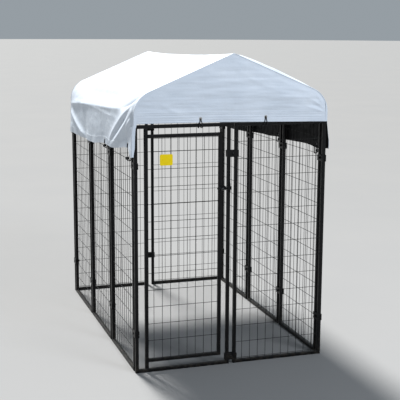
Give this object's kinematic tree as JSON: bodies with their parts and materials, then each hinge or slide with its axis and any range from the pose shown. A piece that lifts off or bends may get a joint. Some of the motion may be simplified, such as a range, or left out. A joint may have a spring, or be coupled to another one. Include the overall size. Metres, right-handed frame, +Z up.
{
  "type": "outdoor dog kennel run",
  "caption": "Walk-in outdoor dog kennel run: black square-tube panels with welded wire mesh, a pivoting gate with slide bolt, and a grey gabled cover over a hooped roof frame.",
  "frame": {"origin": "on the ground, at the middle of the whole object's footprint", "axes": "+X to the right as seen from the gate side, +Y from the gate to the rear, +Z up"},
  "size_m": [1.218, 1.9305, 1.8583],
  "materials": {
    "frame": "black powder coat, satin",
    "mesh": "black powder coat over welded wire",
    "plated_steel": "zinc plated",
    "roof_tube": "galvanised tube",
    "black_plastic": "moulded, matte",
    "knob_plastic": "moulded, smooth",
    "tag": "blank moulded tag",
    "cover": "coated woven tarpaulin, silver grey outside, dark inside",
    "elastic_cord": "braided elastic cord"
  },
  "bodies": {
    "kennel": {"gate_surround": "frame", "front_panel_frame": "frame", "left_panel_frame_front": "frame", "left_panel_frame_middle": "frame", "left_panel_frame_rear": "frame", "right_panel_frame_front": "frame", "right_panel_frame_middle": "frame", "right_panel_frame_rear": "frame", "rear_panel_frame_left": "frame", "rear_panel_frame_right": "frame", "front_panel_mesh": "mesh", "left_panel_mesh_front": "mesh", "left_panel_mesh_middle": "mesh", "left_panel_mesh_rear": "mesh", "right_panel_mesh_front": "mesh", "right_panel_mesh_middle": "mesh", "right_panel_mesh_rear": "mesh", "rear_panel_mesh_left": "mesh", "rear_panel_mesh_right": "mesh", "gate_bush_upper": "black_plastic", "gate_bush_lower": "black_plastic", "latch_keeper": "frame", "latch_keeper_screws": "frame", "clamp_plates_outer": "frame", "clamp_plates_inner": "frame", "clamp_bolts": "frame", "clamp_nuts": "frame", "stile_caps": "black_plastic", "roof_hoop_front_left": "roof_tube", "roof_hoop_front_right": "roof_tube", "roof_hoop_rear_left": "roof_tube", "roof_hoop_rear_right": "roof_tube", "ridge_pole": "roof_tube", "ridge_connector_front": "black_plastic", "ridge_connector_rear": "black_plastic", "roof_tube_screws": "plated_steel", "hoop_leg_screws": "plated_steel", "cover_roof": "cover", "cover_end_front": "cover", "cover_end_rear": "cover", "cover_eyelets": "plated_steel", "cover_tie_cords": "elastic_cord", "cover_tie_balls": "knob_plastic"},
    "gate": {"gate_leaf_frame": "frame", "gate_leaf_mesh": "mesh", "gate_pivot_pin_upper": "plated_steel", "gate_pivot_pin_lower": "plated_steel", "latch_plate": "frame", "latch_plate_screws": "frame", "blank_tag": "tag", "tag_rivets": "tag"},
    "latch_bolt": {"latch_rod": "frame", "latch_knob": "knob_plastic"}
  },
  "joints": [
    {"name": "gate_swing", "type": "hinge", "parent": "kennel", "child": "gate", "pos_m": [-0.5218, -0.9145, 0.73], "axis": [0, 0, -1], "range_deg": [-90, 130]},
    {"name": "latch_slide", "type": "slide", "parent": "gate", "child": "latch_bolt", "axis": [1, 0, 0], "range_m": [0, 0.017]}
  ]
}
